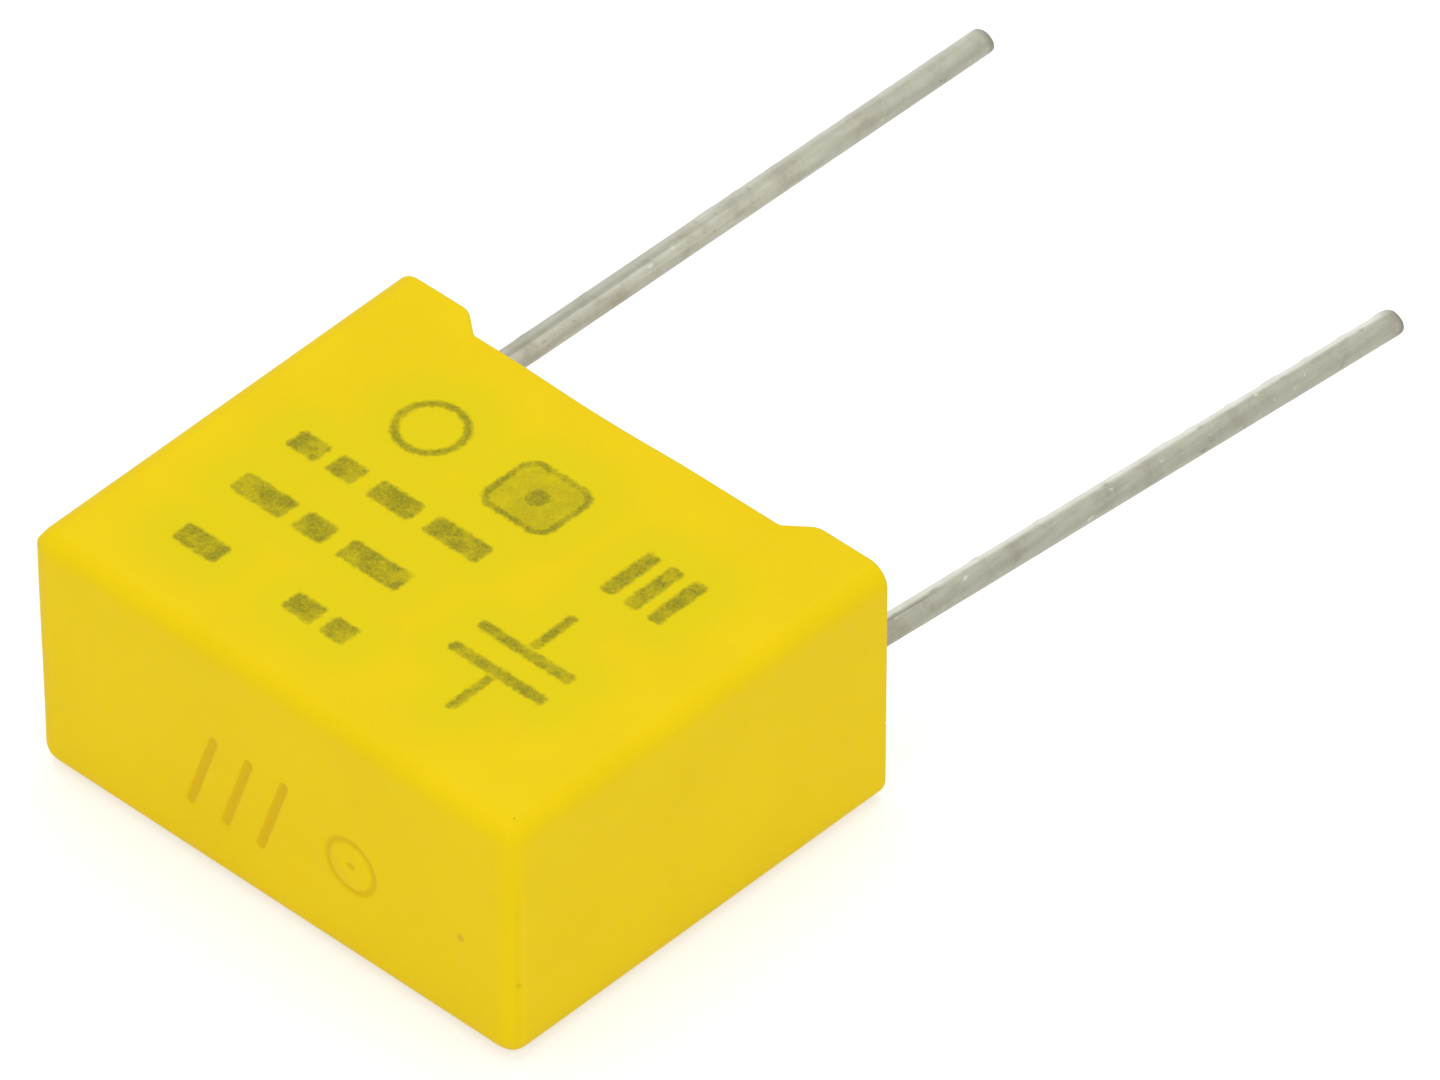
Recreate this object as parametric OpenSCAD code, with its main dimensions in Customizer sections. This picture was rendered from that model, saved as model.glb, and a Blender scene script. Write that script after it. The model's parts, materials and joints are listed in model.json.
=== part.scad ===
// Box film capacitor with two wire leads, lying on one of its large faces.
// X runs along the lead pitch, +Y along the leads, and z = 0 is the face that it lies on.
// The origin is the centre of that face.

/* [Case] */
// Height of the case, from its closed end to its feet
case_h = 14.5; // [12.5:0.5:20]
// Thickness of the case between its two large faces
case_t = 8.3; // [6:0.1:10]
// Thickness of the four side walls
wall = 0.8; // [0.6:0.05:1.1]
// Thickness of the closed end
end_wall = 0.9; // [0.6:0.05:1.5]
// How far each narrow side leans in at the closed end
draft = 0.13; // [0:0.01:0.25]
// Radius of the outer edges
edge_r = 0.7; // [0.4:0.05:1]
// Radius of the inner corners
inner_r = 0.4; // [0.2:0.05:0.8]
// Width of the bevel around the open rim
rim_bevel = 0.15; // [0.05:0.05:0.3]

/* [Feet] */
// How far the feet stand above the edge between them
foot_h = 0.65; // [0.3:0.05:1]
// Width of a foot's seat, from the narrow side
foot_w = 2.55; // [1.5:0.05:4]
// Width of the slope from a foot down to the edge between the feet
foot_slope = 0.8; // [0.2:0.05:2]
// Radius of a foot's corner
foot_r = 0.6; // [0.2:0.05:0.8]

/* [Resin and winding] */
// How deep the resin lies below the edge between the feet
resin_drop = 0.25; // [0.1:0.05:1]
// Resin between the winding and the open surface
resin_cover = 1.2; // [0.5:0.1:2]
// Resin between the winding and the walls
winding_gap = 0.3; // [0.1:0.05:0.6]
// Thickness of the sprayed metal on each end of the winding
spray_t = 0.5; // [0.3:0.05:1]

/* [Leads] */
// Distance between the two leads
lead_pitch = 15; // [10:0.5:22.5]
// Diameter of the lead wire
lead_d = 0.8; // [0.6:0.05:1]
// Resin between a lead and the narrow side's wall
lead_gap = 0.3; // [0.15:0.05:0.6]
// How deep a lead is welded into the sprayed metal
weld_depth = 0.1; // [0.05:0.01:0.2]
// Distance from the winding's edge to a lead's buried end
lead_inset = 1.5; // [0.5:0.1:4]
// Straight length of a lead past the feet, before its bend
lead_rise = 0.25; // [0.1:0.05:1]
// Straight length of a lead after its bend
lead_free = 21.5; // [5:0.05:40]
// Width of the bevel around a lead's cut end
tip_bevel = 0.1; // [0.05:0.01:0.2]
// How far the left lead sits above the middle of the case
left_lift = -0.05; // [-1:0.05:1]
// Lean of the left lead towards +X, in degrees
left_lean_angle = 0.6; // [-8:0.1:8]
// Lean of the left lead towards the face that the part lies on, in degrees
left_droop_angle = 0.5; // [-6:0.1:6]
// How far the right lead sits above the middle of the case
right_lift = 0.15; // [-1:0.05:1]
// Lean of the right lead towards +X, in degrees
right_lean_angle = 1.7; // [-8:0.1:8]
// Lean of the right lead towards the face that the part lies on, in degrees
right_droop_angle = 4.1; // [-6:0.1:6]

/* [Hidden] */
$fn = 48;

LEFT = -1;
RIGHT = 1;

// Room that a cut runs past the faces it opens
over = 1;
// Sides of the balls and posts that the outer box is spanned between
corner_fn = 32;
// Steps along the round corner of a foot
foot_steps = 6;

lead_r = lead_d / 2;
mid_z = case_t / 2;
closed_y = -case_h / 2;
seat_y = case_h / 2;
recess_y = seat_y - foot_h;
resin_y = recess_y - resin_drop;

// The leads stand in resin just inside the narrow sides, and so set the width
case_w = lead_pitch + lead_d + 2 * (lead_gap + wall);
cavity_w = case_w - 2 * wall;
cavity_t = case_t - 2 * wall;
cavity_y = closed_y + end_wall;

winding_t = cavity_t - 2 * winding_gap;
winding_y = cavity_y + winding_gap;
winding_h = resin_y - resin_cover - winding_y;
spray_x = lead_pitch / 2 - lead_r + weld_depth;
winding_x = spray_x - spray_t;

lead_start_y = winding_y + lead_inset;
bend_y = seat_y + lead_rise;
lead_straight = bend_y - lead_start_y;

// Turns a shape drawn along +Z to run along +Y, with its own +Y pointing down
module along_y() {
    rotate([-90, 0, 0])
        children();
}

// Ball with a vertex at each of its six extremes
module ball(r) {
    rotate_extrude($fn = corner_fn)
        intersection() {
            circle(r, $fn = corner_fn);
            translate([0, -r])
                square([r, 2 * r]);
        }
}

// Outside of the case: ball corners at the closed end, a bevelled rim at the open end
module outer_box() {
    hull()
        for (side = [LEFT, RIGHT], z = [edge_r, case_t - edge_r]) {
            translate([side * (case_w / 2 - draft - edge_r), closed_y + edge_r, z])
                ball(edge_r);
            translate([side * (case_w / 2 - edge_r), seat_y - rim_bevel, z])
                along_y()
                    cylinder(h = rim_bevel, r1 = edge_r, r2 = edge_r - rim_bevel, $fn = corner_fn);
        }
}

// Upright bar with rounded corners from the cavity's floor up to the given y
module cavity(top_y) {
    translate([0, cavity_y, mid_z])
        along_y()
            linear_extrude(top_y - cavity_y) {
                square([cavity_w - 2 * inner_r, cavity_t], center = true);
                square([cavity_w, cavity_t - 2 * inner_r], center = true);
                for (side = [LEFT, RIGHT], face = [-1, 1])
                    translate([side * (cavity_w / 2 - inner_r), face * (cavity_t / 2 - inner_r)])
                        circle(inner_r);
            }
}

// Cut across both large walls that leaves a foot with a rounded corner at each narrow side.
// Its two mirrored halves run past the middle, so that they join.
module foot_recess() {
    seat_x = case_w / 2 - foot_w;
    floor_x = seat_x - foot_slope;
    slope = atan2(foot_h, foot_slope);
    corner_x = seat_x + foot_r * tan(slope / 2);
    corner = [for (i = [0:foot_steps])
        let (turn = 90 + slope * (1 - i / foot_steps))
        [corner_x + foot_r * cos(turn), seat_y + foot_r * (sin(turn) - 1)]];
    half = concat([[floor_x, recess_y]], corner, [[corner_x, seat_y + over]]);
    translate([0, 0, -over])
        linear_extrude(case_t + 2 * over)
            for (side = [0, 1])
                mirror([side, 0])
                    polygon(concat(half, [[-over, seat_y + over], [-over, recess_y]]));
}

// Flat-pressed outline of the winding, swept along X from one x to another
module pressed_roll(from_x, to_x) {
    flat_h = winding_h - winding_t;
    translate([from_x, winding_y + winding_h / 2, mid_z])
        rotate([90, 0, 90])
            linear_extrude(to_x - from_x) {
                square([flat_h, winding_t], center = true);
                for (turn = [-1, 1])
                    translate([turn * flat_h / 2, 0])
                        circle(d = winding_t);
            }
}

// Places a lead drawn along +Z, with z = 0 at its bend and its free end leaning towards -X
module at_lead(side, lift, lean, droop) {
    translate([side * lead_pitch / 2, bend_y, mid_z + lift])
        along_y()
            rotate([0, 0, atan2(droop, lean) + 180])
                children();
}

// Straight wire from its buried end up to the given height over its bend
module lead_stem(top = 0) {
    translate([0, 0, -lead_straight])
        cylinder(h = lead_straight + top, r = lead_r);
}

// Free stretch of wire with a bevelled cut end
module lead_tail() {
    rotate_extrude()
        polygon([
            [0, -over],
            [lead_r, -over],
            [lead_r, lead_free - tip_bevel],
            [lead_r - tip_bevel, lead_free],
            [0, lead_free],
        ]);
}

// Half of the space at the bend, above (1) or below (-1) the plane where stem and tail meet
module mitre_half(bend, half) {
    rotate([0, -bend / 2, 0])
        translate([0, 0, half * over])
            cube(2 * over, center = true);
}

// Stem and tail of a lead, mitred at the bend
module bent_wire(bend) {
    difference() {
        lead_stem(over);
        mitre_half(bend, 1);
    }
    difference() {
        rotate([0, -bend, 0])
            lead_tail();
        mitre_half(bend, -1);
    }
}

module left_stem() {
    at_lead(LEFT, left_lift, left_lean_angle, left_droop_angle)
        lead_stem();
}

module right_stem() {
    at_lead(RIGHT, right_lift, right_lean_angle, right_droop_angle)
        lead_stem();
}

module case() {
    color("#e6c52c")
        difference() {
            outer_box();
            cavity(seat_y + over);
            foot_recess();
        }
}

module potting() {
    color("#d9cfa0")
        difference() {
            cavity(resin_y);
            pressed_roll(-spray_x, spray_x);
            left_stem();
            right_stem();
        }
}

module film_winding() {
    color("#c4c8c8")
        pressed_roll(-winding_x, winding_x);
}

module end_spray_left() {
    color("#8f8f8b")
        difference() {
            pressed_roll(-spray_x, -winding_x);
            left_stem();
        }
}

module end_spray_right() {
    color("#8f8f8b")
        difference() {
            pressed_roll(winding_x, spray_x);
            right_stem();
        }
}

module lead_left() {
    color("#b4b0a0")
        at_lead(LEFT, left_lift, left_lean_angle, left_droop_angle)
            bent_wire(norm([left_lean_angle, left_droop_angle]));
}

module lead_right() {
    color("#b4b0a0")
        at_lead(RIGHT, right_lift, right_lean_angle, right_droop_angle)
            bent_wire(norm([right_lean_angle, right_droop_angle]));
}

case();
potting();
film_winding();
end_spray_left();
end_spray_right();
lead_left();
lead_right();
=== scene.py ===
import json
import math

import bmesh
import bpy
from mathutils import Matrix, Quaternion, Vector, noise


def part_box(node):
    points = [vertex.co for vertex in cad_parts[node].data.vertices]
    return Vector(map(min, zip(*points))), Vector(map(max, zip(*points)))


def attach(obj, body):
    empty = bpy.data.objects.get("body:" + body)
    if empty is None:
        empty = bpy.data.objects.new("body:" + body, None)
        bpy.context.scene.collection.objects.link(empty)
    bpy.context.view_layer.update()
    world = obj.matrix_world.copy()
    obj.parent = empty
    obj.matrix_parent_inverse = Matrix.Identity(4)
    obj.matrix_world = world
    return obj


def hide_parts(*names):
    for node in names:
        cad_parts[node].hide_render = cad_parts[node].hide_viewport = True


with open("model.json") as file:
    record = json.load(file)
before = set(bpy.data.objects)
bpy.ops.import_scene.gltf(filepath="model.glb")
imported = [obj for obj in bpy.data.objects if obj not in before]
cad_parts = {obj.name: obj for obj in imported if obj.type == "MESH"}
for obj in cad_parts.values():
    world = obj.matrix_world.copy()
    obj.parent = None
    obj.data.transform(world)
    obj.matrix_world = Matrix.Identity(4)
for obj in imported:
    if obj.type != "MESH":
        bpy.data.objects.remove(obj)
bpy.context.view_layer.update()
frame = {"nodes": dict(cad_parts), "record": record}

# Lengths are in metres, in the frame of the solids: X runs along the lead pitch, +Y along the leads
# and out of the open end, and z = 0 is the large face that the part lies on.
MM = 0.001
UP = Vector((0, 0, 1))
OUT = Vector((0, 1, 0))
ACROSS = Vector((1, 0, 0))
QUARTER = math.radians(90)

# Sizes that the solids give
case_low, case_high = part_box("case")
resin_low, resin_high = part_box("potting")
winding_low, winding_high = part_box("film_winding")
HALF_W = case_high.x
HALF_T = case_high.z / 2
MID_Z = case_high.z / 2
CLOSED_Y = case_low.y
SEAT_Y = case_high.y
CAVITY_HALF_W = resin_high.x
CAVITY_HALF_T = (resin_high.z - resin_low.z) / 2
CAVITY_Y = resin_low.y
RESIN_Y = resin_high.y
ROLL_HALF_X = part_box("end_spray_right")[1].x
MOUNTS = {mount["name"]: mount for mount in frame["record"]["mounts"]}

# Meshes: points closer than a weld become one, and edges past a sharp angle in degrees stay sharp
WELD = 1e-4 * MM
CUT_WELD = 2e-3 * MM
BOX_SHARP = 40
WIRE_SHARP = 50

# Case: its lean towards the closed end, the radii of its edges, and the steps that round them
DRAFT = 0.13 * MM
EDGE_R = 0.7 * MM
INNER_R = 0.4 * MM
RIM_R = 0.15 * MM
LIP_R = 0.08 * MM
EDGE_STEPS = 24
RIM_STEPS = 6
LIP_STEPS = 4
CORNER_STEPS = 10
NARROW_STEPS = 24

# Feet at the open rim
FOOT_H = 0.65 * MM
FOOT_W = 2.55 * MM
FOOT_SLOPE = 0.8 * MM
FOOT_R = 0.6 * MM
FOOT_ROOT_R = 0.3 * MM
FOOT_STEPS = 8
SEAT_STEPS = 5
RECESS_STEPS = 8
FOOT_TILT = math.atan2(FOOT_H, FOOT_SLOPE)
RECESS_Y = SEAT_Y - FOOT_H

# Slight sag of the rim between the feet: its depth, its middle and half its length
SAG = 0.07 * MM
SAG_X = -0.8 * MM
SAG_HALF = 3.4 * MM

# Crease where the rounding of the closed end meets the narrow sides, at this step of the rounding.
# It fades between two heights: upwards on the right upright edge, downwards on the left one.
CREASE_STEP = 15
CREASE_RIGHT_FADE = (5.0 * MM, 7.4 * MM)
CREASE_LEFT_FADE = (7.6 * MM, 0.7 * MM)

# Shallow marks in the closed end, cut by round bars that lie mostly outside it
MARK_OUTSIDE = 0.345 * MM
STROKE_R = 0.4 * MM
STROKE_STARTS = (-3.0 * MM, -1.7 * MM, -0.4 * MM)
STROKE_LOW = 2.2 * MM
STROKE_HIGH = 4.8 * MM
STROKE_LEAN = 0.9 * MM
RING_X = 2.95 * MM
RING_Z = 3.5 * MM
RING_R = 0.85 * MM
RING_WIRE_R = 0.38 * MM
DOT_R = 0.38 * MM
DOT_HALF = 0.05 * MM
BAR_STEPS = 8
BAR_SIDES = 24
HOOP_STEPS = 64
HOOP_SIDES = 20

# Small dents in the edges of one narrow side: their centres and radii
NICK_DETAIL = 3
NICKS = (
    (Vector((9.0, 7.25, 2.76)) * MM, 0.12 * MM),
    (Vector((8.83, 5.75, 0.17)) * MM, 0.07 * MM),
)

# Resin: it sank as it set, climbs the walls and the leads, and is dished and a little wavy
RESIN_STEP = 0.12 * MM
RESIN_CORNER_STEPS = 8
ROLL_STEPS = 24
SINK = 0.06 * MM
MENISCUS_H = 0.1 * MM
MENISCUS_W = 0.28 * MM
COLLAR_H = 0.1 * MM
COLLAR_W = 0.3 * MM
DISH = 0.07 * MM
WAVE_H = 0.045 * MM
WAVE_SPAN = 2.6 * MM
RIPPLE_H = 0.012 * MM
RIPPLE_SPAN = 0.7 * MM
RIPPLE_OFFSET = 3 * MM

# Leads: the free length of their solids, the reach of the bend's curve, and the mesh
LEAD_FREE = 21.5 * MM
BEND_REACH = 0.8 * MM
WIRE_SIDES = 64
WIRE_STEP = 0.15 * MM

# Cut ends of the leads, which the shears left rounder on one side, and slightly dished
TIP_R = 0.1 * MM
TIP_STEPS = 6
TIP_DISH = 0.04 * MM
DISH_RINGS = (0.75, 0.4)
SHEAR_TURN = math.radians(143)
SHEAR_SHARE = 0.75

# Surface of the leads: depths as shares of the radius, spans along the wire, densities around it.
# Pairs are the start and the end of a smooth rise.
DRAWN_DEPTH = 0.008
DRAWN_SPAN = 2.2 * MM
DRAWN_DENSITY = 1.3
FINE_DEPTH = 0.004
FINE_SPAN = 0.9 * MM
FINE_DENSITY = 4
LUMP_SPAN = 0.5 * MM
LUMP_DENSITY = 1.6
LUMP_RISE = (0.2, 0.55)
LUMPY_TURN = math.radians(140)
LUMPY_FACING = (0.3, 0.9)
OUT_OF_RESIN = (0.25 * MM, 0.7 * MM)
FLAT_ENDS_FROM = 0.6

# Stained places and painted shade of the leads: angles around the wire, shares of its length,
# lengths from its tip
SIDE_AFTER_CREASE = (-0.05, 0.12)
SIDE_ENDS = (math.radians(150), math.radians(185))
FAR_STRETCH = (0.6, 0.85)
CUT_STAIN = 0.75
CUT_PLACE = (-0.3 * MM, -0.1 * MM)
DASH_TURN = math.radians(97)
DASH_FACING = (0.97, 0.99)
DASH_SPAN = 0.3 * MM
DASH_RISE = (0.2, 0.5)
# Painted shade that darkens the upper side of a lead more than its lower side
TOP_SHADE_BELOW = 0.4
TOP_SHADE_FACING = (-0.5, 0.8)

# Painted highlights on the leads, along the flat's crease and the upper rim, by the same measures
NEAR_CREASE = (0.03, 0.16)
BELOW_CREASE = (-0.05, 0.05)
BELOW_CREASE_ENDS = (0.35, 0.8)
BELOW_CREASE_HIGHLIGHT = 0.65
HIGHLIGHT_SPAN = 0.5 * MM
HIGHLIGHT_RISE = (-0.2, 0.3)
HIGHLIGHT_LEAST = 0.4
RIM_TURN = math.radians(128)
RIM_FACING = (0.72, 0.96)
RIM_WAVE = 0.15
RIM_TIP_LOSS = 0.7
RIM_TIP_PLACE = (-0.6 * MM, -0.2 * MM)

# Camera, as it stood to the part in the photograph
CAMERA_AIM = Vector((1.77, 8.387, 4.151)) * MM
CAMERA_DISTANCE = 462.953 * MM
CAMERA_AZIMUTH = math.radians(42.896)
CAMERA_ELEVATION = math.radians(41.901)
CAMERA_ROLL = math.radians(0.099)
CAMERA_LENS = 428.71
CAMERA_SENSOR = 36


# Meshes

def new_piece(name, bm, material):
    """Makes an object of a mesh that is being built, with outward faces and smooth shading."""
    bmesh.ops.remove_doubles(bm, verts=bm.verts, dist=WELD)
    bmesh.ops.recalc_face_normals(bm, faces=bm.faces)
    for face in bm.faces:
        face.smooth = True
    mesh = bpy.data.meshes.new(name)
    bm.to_mesh(mesh)
    bm.free()
    if material:
        mesh.materials.append(material)
    piece = bpy.data.objects.new(name, mesh)
    bpy.context.scene.collection.objects.link(piece)
    return piece


def skin(bm, rings, close_start=True, close_end=True):
    """Joins rings of equally many points into a skin, with a face over each end that is closed."""
    rows = [[bm.verts.new(point) for point in ring] for ring in rings]
    for lower, upper in zip(rows, rows[1:]):
        for i in range(len(lower)):
            bm.faces.new((lower[i - 1], lower[i], upper[i], upper[i - 1]))
    if close_start:
        bm.faces.new(rows[0])
    if close_end:
        bm.faces.new(rows[-1])
    return rows


def cut_out(piece, tool):
    """Cuts the tool out of the piece, and removes the tool."""
    modifier = piece.modifiers.new("cut_out", "BOOLEAN")
    modifier.operation = "DIFFERENCE"
    modifier.object = tool
    modifier.solver = "EXACT"
    depsgraph = bpy.context.evaluated_depsgraph_get()
    plain_mesh = piece.data
    piece.data = bpy.data.meshes.new_from_object(piece.evaluated_get(depsgraph))
    piece.data.name = plain_mesh.name
    piece.modifiers.clear()
    bpy.data.meshes.remove(plain_mesh)
    bpy.data.objects.remove(tool)


def tidy_cuts(piece):
    """Closes the shortest edges that cuts leave, and removes their points within an edge."""
    bm = bmesh.new()
    bm.from_mesh(piece.data)
    bmesh.ops.remove_doubles(bm, verts=bm.verts, dist=CUT_WELD)
    middles = [vert for vert in bm.verts if len(vert.link_edges) == 2]
    bmesh.ops.dissolve_verts(bm, verts=middles)
    bm.to_mesh(piece.data)
    bm.free()


def even_shading(piece, sharp_degrees):
    """Keeps flat faces flat beside round edges, and edges past the angle sharp."""
    piece.data.set_sharp_from_angle(angle=math.radians(sharp_degrees))
    modifier = piece.modifiers.new("even_shading", "WEIGHTED_NORMAL")
    modifier.keep_sharp = True


def smooth_step(value, start, end):
    """0 before start, 1 after end, and a smooth rise between them."""
    t = min(max((value - start) / (end - start), 0), 1)
    return t * t * (3 - 2 * t)


# Case

def foot_profile():
    """Points (x, y) of the rim along half a long side, from its middle to a foot's seat."""
    seat_x = HALF_W - FOOT_W
    root_x = seat_x - FOOT_SLOPE - FOOT_ROOT_R * math.tan(FOOT_TILT / 2)
    top_x = seat_x + FOOT_R * math.tan(FOOT_TILT / 2)
    points = [(root_x * i / RECESS_STEPS, RECESS_Y) for i in range(RECESS_STEPS)]
    for i in range(FOOT_STEPS + 1):
        turn = FOOT_TILT * i / FOOT_STEPS
        rise = FOOT_ROOT_R * (1 - math.cos(turn))
        points.append((root_x + FOOT_ROOT_R * math.sin(turn), RECESS_Y + rise))
    for i in range(FOOT_STEPS + 1):
        turn = FOOT_TILT * (1 - i / FOOT_STEPS)
        drop = FOOT_R * (1 - math.cos(turn))
        points.append((top_x - FOOT_R * math.sin(turn), SEAT_Y - drop))
    return points


FOOT_PROFILE = foot_profile()


def rim_height(x):
    """Height y of the open rim at a place along the long sides."""
    reach = abs(x)
    sag = SAG * (1 - min(abs(x - SAG_X) / SAG_HALF, 1) ** 2) ** 2
    for (x0, y0), (x1, y1) in zip(FOOT_PROFILE, FOOT_PROFILE[1:]):
        if reach <= x1:
            return y0 + (y1 - y0) * (reach - x0) / (x1 - x0) - sag
    return SEAT_Y


def long_side_stations(straight_x):
    """Places x along a long side, between its corners: the rim's own points, then even steps."""
    stations = [x for x, y in FOOT_PROFILE]
    last = stations[-1]
    stations += [last + (straight_x - last) * i / SEAT_STEPS for i in range(1, SEAT_STEPS)]
    return [-x for x in reversed(stations[1:])] + stations


def corner_points(x, z, radius, start_degrees):
    """Quarter circle of points around a corner's centre, each with its part in the bulge."""
    points = []
    for i in range(CORNER_STEPS + 1):
        turn = math.radians(start_degrees + 90 * i / CORNER_STEPS)
        right = math.cos(turn)
        points.append((x + radius * right, z + radius * math.sin(turn), right ** 2))
    return points


def crease_share(x, z):
    """How much of the crease there is at a height on the right or left side, from 0 to 1."""
    start, end = CREASE_RIGHT_FADE if x > 0 else CREASE_LEFT_FADE
    return 1 - smooth_step(MID_Z + z, start, end)


def box_ring(half_w, half_t, radius, height, bulge=0):
    """Ring around a rounded rectangle in the X-Z plane, whose y at each x is given by height.

    The bulge widens it at its narrow sides. Flat points are x, z and a part in the bulge."""
    straight_x = half_w - radius
    straight_z = half_t - radius
    stations = long_side_stations(straight_x)
    narrow = [straight_z * (2 * i / NARROW_STEPS - 1) for i in range(1, NARROW_STEPS)]
    flat = corner_points(straight_x, straight_z, radius, 0)
    flat += [(x, half_t, 0) for x in reversed(stations)]
    flat += corner_points(-straight_x, straight_z, radius, 90)
    flat += [(-half_w, z, 1) for z in reversed(narrow)]
    flat += corner_points(-straight_x, -straight_z, radius, 180)
    flat += [(x, -half_t, 0) for x in stations]
    flat += corner_points(straight_x, -straight_z, radius, 270)
    flat += [(half_w, z, 1) for z in narrow]
    ring = []
    for x, z, part in flat:
        wider = bulge * part * crease_share(x, z)
        ring.append(Vector((x + math.copysign(wider, x), height(x), MID_Z + z)))
    return ring


def crease_inset(rise):
    """How far the creased rounding lies inside a narrow side, at a height over the closed end."""
    crease_turn = QUARTER * (1 - CREASE_STEP / EDGE_STEPS)
    crease_rise = EDGE_R * (1 - math.sin(crease_turn))
    radius = (EDGE_R ** 2 + crease_rise ** 2) / (2 * crease_rise)
    if rise >= crease_rise:
        return 0
    return EDGE_R - math.sqrt(radius ** 2 - (radius - rise) ** 2)


def case_rings():
    """Rings of the case from its closed end, over the rim and down to the floor of the cavity."""
    rings = []
    for i in range(EDGE_STEPS + 1):
        turn = QUARTER * (1 - i / EDGE_STEPS)
        inset = EDGE_R * (1 - math.cos(turn))
        rise = EDGE_R * (1 - math.sin(turn))
        half_w = HALF_W - DRAFT - inset
        half_t = HALF_T - inset
        bulge = inset - crease_inset(rise)
        rings.append(box_ring(half_w, half_t, EDGE_R - inset, lambda x: CLOSED_Y + rise, bulge))
    for i in range(RIM_STEPS + 1):
        turn = QUARTER * i / RIM_STEPS
        inset = RIM_R * (1 - math.cos(turn))
        drop = RIM_R * (1 - math.sin(turn))
        half_w = HALF_W - inset
        half_t = HALF_T - inset
        rings.append(box_ring(half_w, half_t, EDGE_R - inset, lambda x: rim_height(x) - drop))
    for i in range(LIP_STEPS + 1):
        turn = QUARTER * i / LIP_STEPS
        spread = LIP_R * (1 - math.sin(turn))
        drop = LIP_R * (1 - math.cos(turn))
        half_w = CAVITY_HALF_W + spread
        half_t = CAVITY_HALF_T + spread
        rings.append(box_ring(half_w, half_t, INNER_R + spread, lambda x: rim_height(x) - drop))
    rings.append(box_ring(CAVITY_HALF_W, CAVITY_HALF_T, INNER_R, lambda x: CAVITY_Y))
    return rings


def round_ring(centre, first, second, radius, sides):
    """Circle of points around a centre, in the plane of two directions."""
    turns = [math.tau * i / sides for i in range(sides)]
    return [centre + (first * math.cos(turn) + second * math.sin(turn)) * radius for turn in turns]


def add_bar(bm, start, end, radius):
    """Adds a bar with round ends that lies along the closed end."""
    along = (end - start).normalized()
    side = along.cross(OUT)
    stations = []
    for i in range(1, BAR_STEPS):
        turn = QUARTER * (i / BAR_STEPS - 1)
        stations.append((start + along * radius * math.sin(turn), radius * math.cos(turn)))
    stations += [(start, radius), (end, radius)]
    for i in range(1, BAR_STEPS):
        turn = QUARTER * i / BAR_STEPS
        stations.append((end + along * radius * math.sin(turn), radius * math.cos(turn)))
    skin(bm, [round_ring(point, side, OUT, width, BAR_SIDES) for point, width in stations])


def add_hoop(bm, centre, radius, wire_r):
    """Adds a ring of round wire that lies along the closed end."""
    rings = []
    for i in range(HOOP_STEPS + 1):
        turn = math.tau * i / HOOP_STEPS
        outward = ACROSS * math.cos(turn) + UP * math.sin(turn)
        rings.append(round_ring(centre + outward * radius, outward, OUT, wire_r, HOOP_SIDES))
    skin(bm, rings, close_start=False, close_end=False)


def closed_end_marks():
    """Solid that is cut from the closed end: three slanted strokes, and a ring around a dot."""
    bm = bmesh.new()
    level = CLOSED_Y - MARK_OUTSIDE
    for x in STROKE_STARTS:
        start = Vector((x, level, STROKE_LOW))
        end = Vector((x + STROKE_LEAN, level, STROKE_HIGH))
        add_bar(bm, start, end, STROKE_R)
    centre = Vector((RING_X, level, RING_Z))
    add_hoop(bm, centre, RING_R, RING_WIRE_R)
    add_bar(bm, centre - ACROSS * DOT_HALF, centre + ACROSS * DOT_HALF, DOT_R)
    return new_piece("closed_end_marks", bm, None)


def edge_nicks():
    """Solid that is cut from the case's edges where they are dented."""
    bm = bmesh.new()
    for centre, radius in NICKS:
        place = Matrix.Translation(centre)
        bmesh.ops.create_icosphere(bm, subdivisions=NICK_DETAIL, radius=radius, matrix=place)
    return new_piece("edge_nicks", bm, None)


def make_case(material):
    """Moulded case with its sunk marks and dents."""
    bm = bmesh.new()
    skin(bm, case_rings())
    piece = new_piece("case_shell", bm, material)
    cut_out(piece, closed_end_marks())
    cut_out(piece, edge_nicks())
    even_shading(piece, BOX_SHARP)
    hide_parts("case")
    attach(piece, "root")


# Resin

def resin_stations(half, corner):
    """Places across the resin, with even steps between the corners and finer ones in them."""
    straight = half - corner
    count = math.ceil(2 * straight / RESIN_STEP)
    corner_steps = [corner * i / RESIN_CORNER_STEPS for i in range(RESIN_CORNER_STEPS + 1)]
    stations = [-half + step for step in corner_steps[:-1]]
    stations += [-straight + 2 * straight * i / count for i in range(count)]
    stations += [straight + step for step in corner_steps]
    return stations


def resin_outline(x, z):
    """Moves a point of the grid's square corners onto round ones."""
    straight_x = CAVITY_HALF_W - INNER_R
    straight_z = CAVITY_HALF_T - INNER_R
    p = (abs(x) - straight_x) / INNER_R
    q = (abs(z) - straight_z) / INNER_R
    if p <= 0 or q <= 0:
        return x, z
    round_p = p * math.sqrt(1 - q * q / 2)
    round_q = q * math.sqrt(1 - p * p / 2)
    return (
        math.copysign(straight_x + round_p * INNER_R, x),
        math.copysign(straight_z + round_q * INNER_R, z),
    )


def wall_distance(x, z):
    """Distance from a point on the resin to the nearest wall of the case."""
    over_x = abs(x) - (CAVITY_HALF_W - INNER_R)
    over_z = abs(z) - (CAVITY_HALF_T - INNER_R)
    outside = math.hypot(max(over_x, 0), max(over_z, 0))
    inside = min(max(over_x, over_z), 0)
    return INNER_R - outside - inside


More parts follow.
